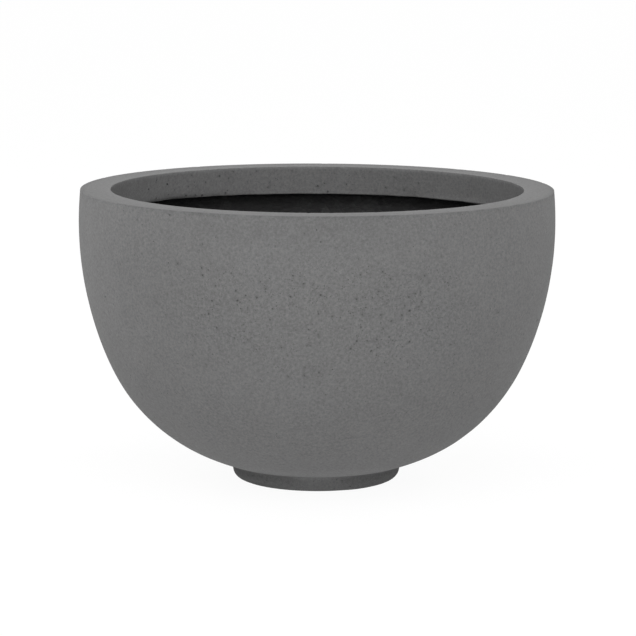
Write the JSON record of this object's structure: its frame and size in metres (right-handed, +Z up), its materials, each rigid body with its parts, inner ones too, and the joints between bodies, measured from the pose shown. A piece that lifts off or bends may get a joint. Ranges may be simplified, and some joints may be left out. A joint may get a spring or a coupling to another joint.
{
  "type": "concrete bowl planter",
  "caption": "Round concrete bowl planter on a low foot, with a wide flat rim, a turned-in lip and a drain plug inside, for plants on the floor.",
  "frame": {"origin": "on the floor, at the centre of the foot's underside", "axes": "+Z up, along the axis that the bowl is turned about; +X and +Y are alike"},
  "size_m": [0.6, 0.6, 0.37],
  "materials": {
    "concrete": "matt mid-grey fibre cement, fine grain, scattered pinholes, slightly worn edges",
    "black_lining": "black brushed-on sealing coat over glass-fibre laminate, satin",
    "foot_concrete": "matt grey fibre cement, a shade darker than the bowl",
    "mortar": "rough light-grey mortar adhesive",
    "rubber": "matt black moulded rubber"
  },
  "bodies": {
    "planter": {"bowl_shell": "concrete", "inner_liner": "black_lining", "foot_ring": "foot_concrete", "foot_bond": "mortar"},
    "plug": {"drain_plug": "rubber"}
  },
  "joints": [
    {"name": "drain_plug_pull", "type": "slide", "parent": "planter", "child": "plug", "axis": [0, 0, 1], "range_m": [0, 0.4]}
  ]
}
